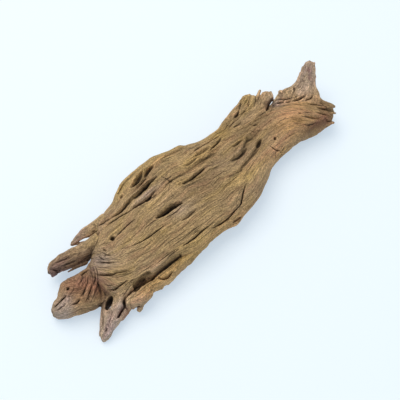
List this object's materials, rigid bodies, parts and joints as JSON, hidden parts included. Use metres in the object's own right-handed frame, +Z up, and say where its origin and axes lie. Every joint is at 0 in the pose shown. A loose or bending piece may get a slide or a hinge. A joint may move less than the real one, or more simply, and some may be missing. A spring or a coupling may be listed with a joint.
{
  "type": "aquarium driftwood",
  "caption": "Flat branching piece of weathered driftwood for an aquarium: a broad grooved trunk with short broken limbs at both ends.",
  "frame": {"origin": "on the resting surface, under the middle of the piece's footprint", "axes": "+X along the trunk towards the horn, +Z up from the resting surface, +Y towards the side that carries the broken stub"},
  "size_m": [0.3818, 0.1231, 0.046],
  "materials": {
    "weathered_wood": "matte bare wood, tan, with dark crevices along the grain",
    "pale_wood": "matte bare wood, pinkish tan",
    "grey_wood": "matte bare wood, greyish brown",
    "reddish_wood": "matte bare wood, reddish brown"
  },
  "bodies": {
    "root": {"trunk": "weathered_wood", "horn": "pale_wood", "broken_stub": "weathered_wood", "upper_finger": "grey_wood", "long_finger": "grey_wood", "knob": "reddish_wood", "spike": "grey_wood", "side_rail": "weathered_wood"}
  },
  "joints": []
}
